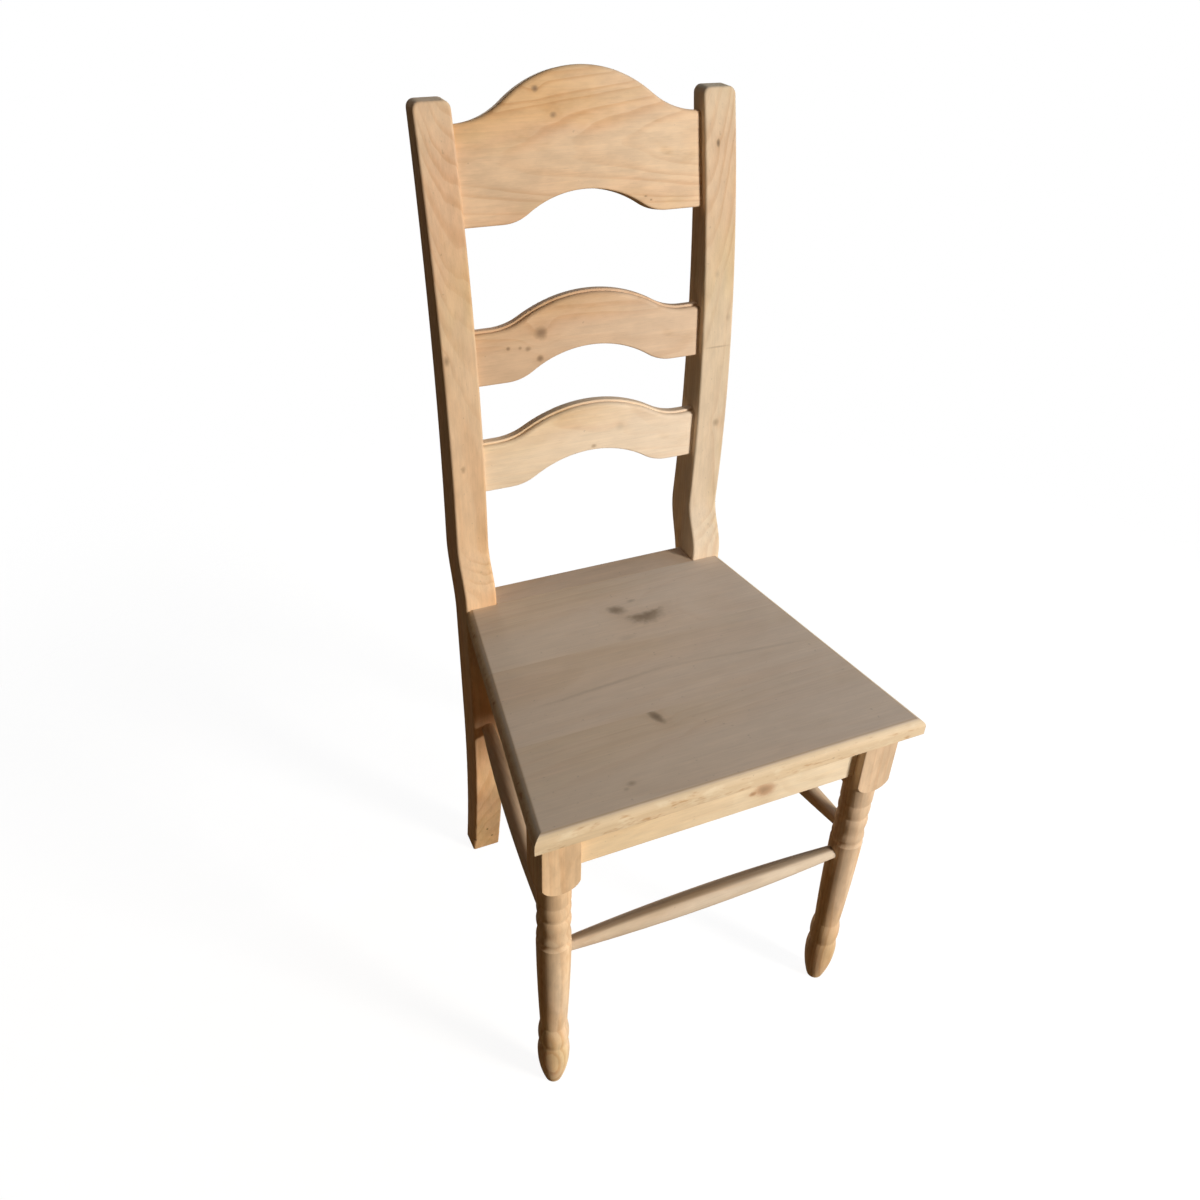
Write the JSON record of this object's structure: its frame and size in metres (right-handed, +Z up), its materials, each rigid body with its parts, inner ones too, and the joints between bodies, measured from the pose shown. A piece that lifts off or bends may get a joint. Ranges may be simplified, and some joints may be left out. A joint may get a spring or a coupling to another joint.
{
  "type": "ladder-back dining chair",
  "caption": "Bare pine ladder-back dining chair with a crowned crest rail, arched slats, a plank seat, turned front legs and turned stretchers.",
  "frame": {"origin": "on the floor, under the middle of the chair's overall width and depth", "axes": "+X to the right as seen from the front, +Y from the seat's front edge to the back, +Z up"},
  "size_m": [0.432, 0.4543, 1.0115],
  "materials": {
    "pine": "bare, sanded",
    "screw_steel": "zinc plated"
  },
  "bodies": {
    "root": {"apron_dowels": "pine", "back_apron": "pine", "back_stretcher": "pine", "corner_block_screws": "screw_steel", "crest_rail": "pine", "front_apron": "pine", "front_left_corner_block": "pine", "front_right_corner_block": "pine", "front_stretcher": "pine", "left_apron": "pine", "left_front_leg": "pine", "left_rear_post": "pine", "left_stretcher": "pine", "lower_slat": "pine", "rear_left_corner_block": "pine", "rear_right_corner_block": "pine", "right_apron": "pine", "right_front_leg": "pine", "right_rear_post": "pine", "right_stretcher": "pine", "seat_back_strip": "pine", "seat_front_board": "pine", "seat_middle_board": "pine", "seat_rear_board": "pine", "seat_screws": "screw_steel", "upper_slat": "pine"}
  },
  "joints": []
}
